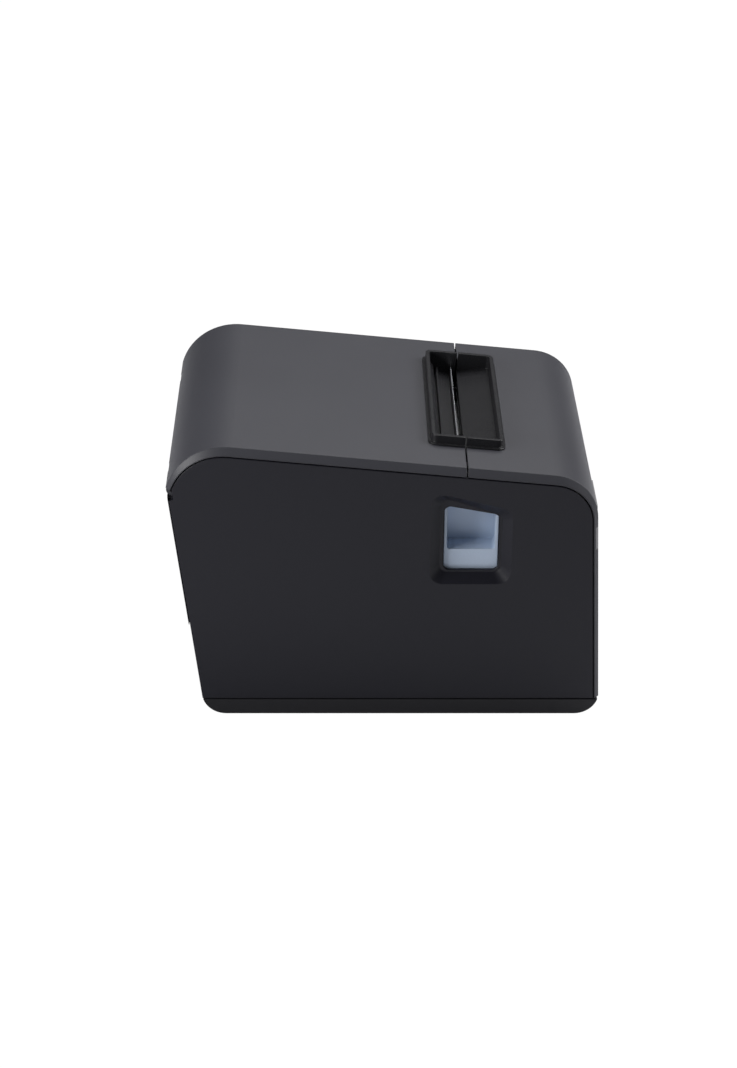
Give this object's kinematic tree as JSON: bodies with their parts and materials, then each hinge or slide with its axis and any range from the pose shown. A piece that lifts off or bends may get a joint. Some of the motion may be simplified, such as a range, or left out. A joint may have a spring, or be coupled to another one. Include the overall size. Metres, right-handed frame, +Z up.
{
  "type": "receipt printer",
  "caption": "Countertop receipt printer with a hinged lid over a drop-in paper bin, a raised paper exit, a side release lever and a thermal print mechanism with cutter.",
  "frame": {"origin": "on the plane of the feet, under the middle of the bounding box", "axes": "+X to the printer's front, +Y to its left, +Z up"},
  "size_m": [0.1975, 0.14, 0.1392],
  "materials": {
    "top_shell": "fine matt texture",
    "side_shell": "fine matt texture",
    "base_shell": "fine matt texture",
    "grey_trim": "satin",
    "exit_trim": "fine matt texture",
    "lever_plastic": "satin",
    "inner_plastic": "matt",
    "steel": "rolled",
    "gear_plastic": "natural",
    "platen_rubber": "ground",
    "foot_rubber": "moulded",
    "head_ceramic": "glazed ceramic",
    "heatsink": "extruded",
    "board": "solder mask",
    "light_lens": "clear"
  },
  "bodies": {
    "housing": {"base_tray": "base_shell", "rubber_feet": "foot_rubber", "left_side_panel": "side_shell", "right_side_panel": "side_shell", "front_cover": "top_shell", "front_strip": "grey_trim", "control_board": "board", "feed_switch": "inner_plastic", "led_lenses": "light_lens", "rear_panel": "top_shell", "hinge_pins": "steel", "exit_trim_front": "exit_trim", "idler_stud": "steel", "feed_motor": "steel", "mechanism_frame": "steel", "head_pivot_shaft": "steel", "head_spring": "steel", "cutter_motor": "steel", "cutter_bed": "steel", "chassis": "inner_plastic", "paper_sensor": "inner_plastic", "lid_switch": "inner_plastic", "lever_spring": "steel", "latch_stud": "steel", "main_board": "board", "lan_socket": "steel", "drawer_jack": "inner_plastic", "usb_socket": "steel", "dc_jack": "inner_plastic", "switch_body": "inner_plastic", "connector_plate": "steel"},
    "lid": {"paper_cover": "top_shell", "platen_holder": "inner_plastic", "exit_trim_rear": "exit_trim", "tear_bar": "steel", "fixed_blade": "steel", "platen_bushings": "gear_plastic"},
    "platen": {"platen_shaft": "steel", "platen_rubber": "platen_rubber", "platen_gear": "gear_plastic"},
    "idler": {"idler_gear": "gear_plastic"},
    "pinion": {"motor_pinion": "gear_plastic"},
    "print_head": {"head_ceramic": "head_ceramic", "head_heatsink": "heatsink"},
    "cutter_blade": {"moving_blade": "steel"},
    "cutter_gear": {"cutter_pinion": "gear_plastic"},
    "lever": {"release_lever": "lever_plastic"},
    "latch": {"lid_latch": "steel"},
    "button": {"feed_button": "grey_trim"},
    "rocker": {"power_rocker": "inner_plastic"}
  },
  "joints": [
    {"name": "lid_hinge", "type": "hinge", "parent": "housing", "child": "lid", "pos_m": [-0.0952, 0, 0.1178], "axis": [0, -1, 0], "range_deg": [0, 78]},
    {"name": "platen_spin", "type": "hinge", "parent": "lid", "child": "platen", "pos_m": [0.02361, 0, 0.10271], "axis": [0, 1, 0], "continuous": true},
    {"name": "idler_spin", "type": "hinge", "parent": "housing", "child": "idler", "pos_m": [0.03107, 0.049, 0.08159], "axis": [0, 1, 0], "continuous": true},
    {"name": "motor_spin", "type": "hinge", "parent": "housing", "child": "pinion", "pos_m": [0.0498, 0.049, 0.07457], "axis": [0, 1, 0], "continuous": true},
    {"name": "head_tilt", "type": "hinge", "parent": "housing", "child": "print_head", "pos_m": [0.03419, 0, 0.09164], "axis": [0, 1, 0], "range_deg": [0, 2.5], "stiffness_Nm_per_rad": 1, "springref_deg": -2.86, "deforming": ["head_spring"]},
    {"name": "cutter_slide", "type": "slide", "parent": "housing", "child": "cutter_blade", "axis": [-0.9953, 0, 0.0965], "range_m": [0, 0.0085]},
    {"name": "cutter_spin", "type": "hinge", "parent": "housing", "child": "cutter_gear", "pos_m": [0.05676, 0, 0.10372], "axis": [0, -1, 0], "range_deg": [0, 96]},
    {"name": "lever_press", "type": "slide", "parent": "housing", "child": "lever", "axis": [0, 0, -1], "range_m": [0, 0.004], "stiffness_N_per_m": 400, "springref_m": -0.002, "deforming": ["lever_spring"]},
    {"name": "latch_turn", "type": "hinge", "parent": "housing", "child": "latch", "pos_m": [0.02476, -0.0478, 0.08351], "axis": [0, 1, 0], "range_deg": [0, 12.5]},
    {"name": "button_press", "type": "slide", "parent": "housing", "child": "button", "axis": [-1, 0, 0], "range_m": [0, 0.001], "stiffness_N_per_m": 800, "springref_m": -0.001},
    {"name": "rocker_tilt", "type": "hinge", "parent": "housing", "child": "rocker", "pos_m": [-0.07339, 0.053, 0.033], "axis": [0, -1, 0], "range_deg": [0, 14]}
  ],
  "couplings": [
    {"joint": "idler_spin", "follows": "platen_spin", "ratio": -0.55556},
    {"joint": "motor_spin", "follows": "platen_spin", "ratio": 1.4286},
    {"joint": "cutter_spin", "follows": "cutter_slide", "rad_per_m": 178.57},
    {"joint": "latch_turn", "follows": "lever_press", "rad_per_m": 52.36}
  ]
}
